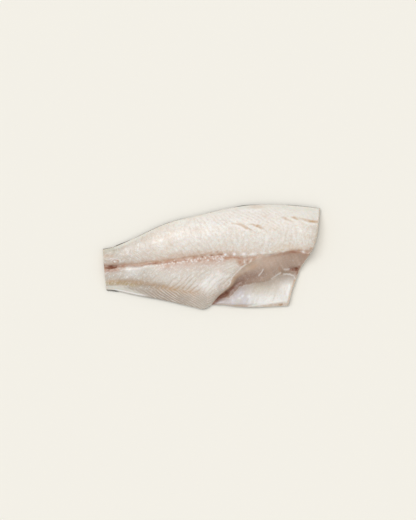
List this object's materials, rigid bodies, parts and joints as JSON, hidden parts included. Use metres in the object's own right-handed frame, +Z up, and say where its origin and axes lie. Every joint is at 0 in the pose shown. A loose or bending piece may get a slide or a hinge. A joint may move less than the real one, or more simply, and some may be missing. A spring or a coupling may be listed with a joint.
{
  "type": "toothfish fillet",
  "caption": "Raw skin-on white fish fillet lying on its skin: thick back muscle, tail taper, opened belly flap and cut ends.",
  "frame": {"origin": "middle of the bounding box in plan, on the surface that the fillet lies on", "axes": "+X along the spine line from the tail cut to the head cut, +Y towards the back of the fish, +Z up out of the cut side"},
  "size_m": [0.3855, 0.1805, 0.0319],
  "materials": {
    "flesh": "moist raw white flesh",
    "skin": "dark scaled fish skin, damp"
  },
  "bodies": {
    "root": {"flesh": "flesh", "skin": "skin"}
  },
  "joints": []
}
